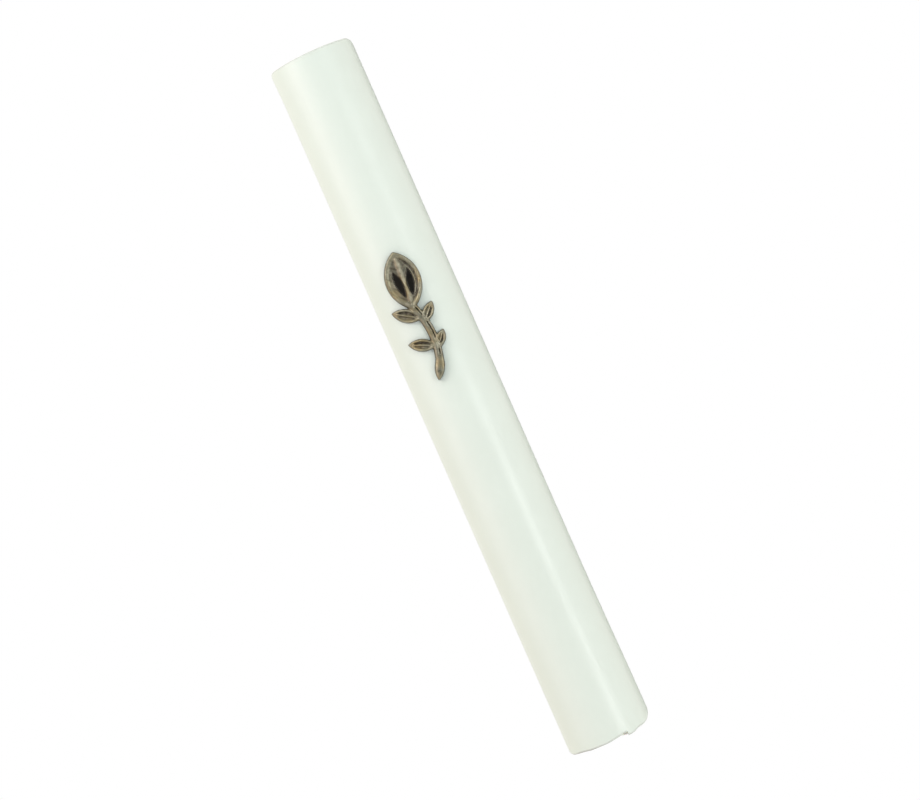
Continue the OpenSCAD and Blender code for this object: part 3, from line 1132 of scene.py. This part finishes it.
def surroundings(w, azimuth, elevation):
    """The light from round about, with the overhead light above it."""
    ramp = w.node("ShaderNodeValToRGB", {0: w.remap(azimuth, -180, 180)})
    stops = ramp.color_ramp.elements
    for stop in stops:
        stop.color = (0, 0, 0, 1)
    for place, colour in AROUND:
        stops.new((place + 180) / 360).color = (*colour, 1)
    return w.mix(w.remap(elevation, 15, 25), ramp.outputs[0], OVERHEAD)


def softbox(w, azimuth, elevation):
    """A soft-edged rectangle at the left front."""
    across = w.math("MULTIPLY", w.remap(azimuth, -90, -66), w.remap(azimuth, -33, -56))
    upward = w.math("MULTIPLY", w.remap(elevation, -4, 0), w.remap(elevation, 32, 28))
    return w.mix(w.math("MULTIPLY", across, upward), (0, 0, 0), SOFTBOX)


def strip_light(w, azimuth, elevation):
    """A narrow strip at the right front that leans to the right as it rises."""
    lean = w.remap(elevation, -3, 9, 35, 48)
    off = w.math("ABSOLUTE", w.math("SUBTRACT", azimuth, lean))
    upright = w.math("MULTIPLY", w.remap(elevation, -20, -8), w.remap(elevation, 8, -4))
    return w.mix(w.math("MULTIPLY", w.remap(off, 9, 0), upright), (0, 0, 0), STRIP)


def build_world():
    """A white studio: plain white to look at, with three kinds of light for the object."""
    world = bpy.data.worlds.new("studio")
    world.use_nodes = True
    w = Nodes(world.node_tree)
    direction = w.node("ShaderNodeTexCoord").outputs["Generated"]
    x, y, z = w.node("ShaderNodeSeparateXYZ", {0: direction}).outputs
    elevation = w.math("DEGREES", w.math("ARCSINE", z))
    azimuth = w.math("DEGREES", w.math("ARCTAN2", x, w.math("MULTIPLY", y, -1)))
    total = surroundings(w, azimuth, elevation)
    for light in (softbox(w, azimuth, elevation), strip_light(w, azimuth, elevation)):
        total = w.node("ShaderNodeVectorMath", {0: total, 1: light}, operation="ADD").outputs[0]
    seen = w.node("ShaderNodeLightPath").outputs["Is Camera Ray"]
    background = w.node("ShaderNodeBackground", {"Color": w.mix(seen, total, (1, 1, 1))})
    w.node("ShaderNodeOutputWorld", {"Surface": background.outputs[0]})
    bpy.context.scene.world = world


def soft_light(name, azimuth, elevation, distance, size, power):
    """A rectangular light that faces the middle of the case. Azimuth 0 is the front, 90 the right."""
    a = math.radians(azimuth)
    e = math.radians(elevation)
    out = Vector((math.sin(a) * math.cos(e), -math.cos(a) * math.cos(e), math.sin(e)))
    data = bpy.data.lights.new(name, "AREA")
    data.shape = "RECTANGLE"
    data.size, data.size_y = size
    data.energy = power
    light = bpy.data.objects.new(name, data)
    facing = out.to_track_quat("Z", "Y").to_matrix().to_4x4()
    light.matrix_world = Matrix.Translation(out * distance) @ facing
    bpy.context.scene.collection.objects.link(light)


def build_floor():
    """A round floor, far enough below the case for the plug and the parchment to hang free over it."""
    bm = bmesh.new()
    bmesh.ops.create_circle(bm, cap_ends=True, radius=FLOOR_R, segments=96)
    mesh = bpy.data.meshes.new("floor")
    bm.to_mesh(mesh)
    bm.free()
    mesh.materials.append(floor_paint())
    floor = bpy.data.objects.new("floor", mesh)
    floor.location = (0, 0, FLOOR_Z)
    bpy.context.scene.collection.objects.link(floor)


def build_studio():
    """World, floor and one small light, with colours shown as they are."""
    build_world()
    build_floor()
    soft_light("upper_left", -50, 40, 0.25, (0.1, 0.086), 0.12)
    bpy.context.scene.view_settings.view_transform = "Standard"


build_camera()
build_studio()
build_shell(white_plastic("shell_plastic", (0.755, 0.842, 0.782), (0.735, 0.82, 0.76), 0.33, 0.004 * MM))
build_cap(white_plastic("cap_plastic", (0.82, 0.85, 0.81), (0.78, 0.81, 0.77), 0.4, 0.004 * MM))
build_emblem(pewter())
build_cork(cork_plastic())
build_plate(white_plastic("plate_plastic", (0.8, 0.825, 0.8), (0.76, 0.79, 0.76), 0.42, 0.01 * MM))
build_tape(foam())
build_roll(parchment())
build_sleeve(film())
